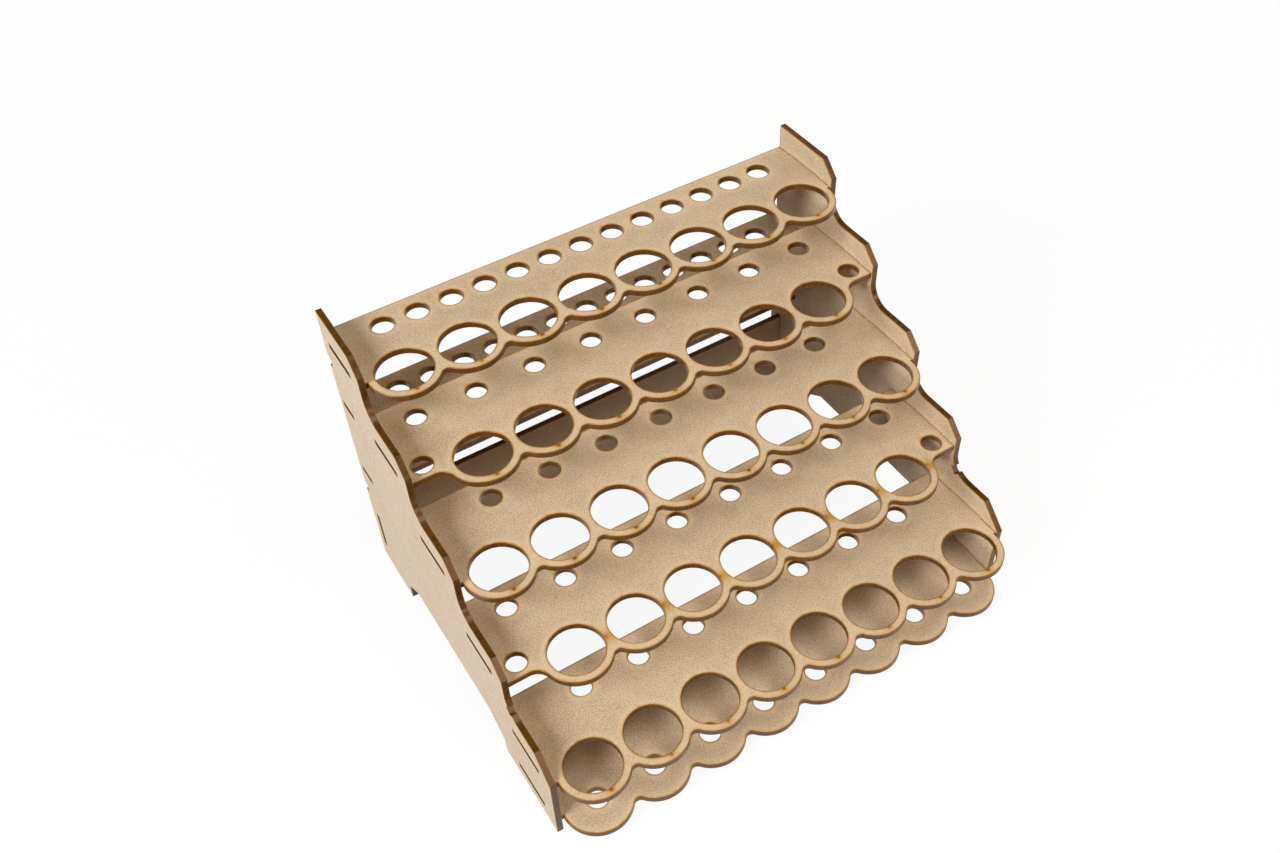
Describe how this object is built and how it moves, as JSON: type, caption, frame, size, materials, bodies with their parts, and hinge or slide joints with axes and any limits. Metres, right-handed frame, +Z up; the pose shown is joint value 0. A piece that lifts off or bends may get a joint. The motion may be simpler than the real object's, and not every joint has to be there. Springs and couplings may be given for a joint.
{
  "type": "hobby workstation organizer",
  "caption": "Stepped bench rack of slotted fibreboard sheets: rows of round holes hold small bottles upright or tip down, and a line of holes at the back holds brushes.",
  "frame": {"origin": "middle of the footprint's bounding box, at the height of the surface that it stands on", "axes": "+X runs along the shelves to the right as seen from the front, +Y to the back, +Z up"},
  "size_m": [0.257, 0.2084, 0.1727],
  "materials": {
    "fibreboard": "matt raw board"
  },
  "bodies": {
    "root": {"side_panel_left": "fibreboard", "side_panel_right": "fibreboard", "base_shelf": "fibreboard", "ring_shelf_1": "fibreboard", "ring_shelf_2": "fibreboard", "ring_shelf_3": "fibreboard", "ring_shelf_4": "fibreboard", "ring_shelf_5": "fibreboard", "brush_rail_upper": "fibreboard", "brush_rail_lower": "fibreboard", "rear_brace": "fibreboard"}
  },
  "joints": []
}
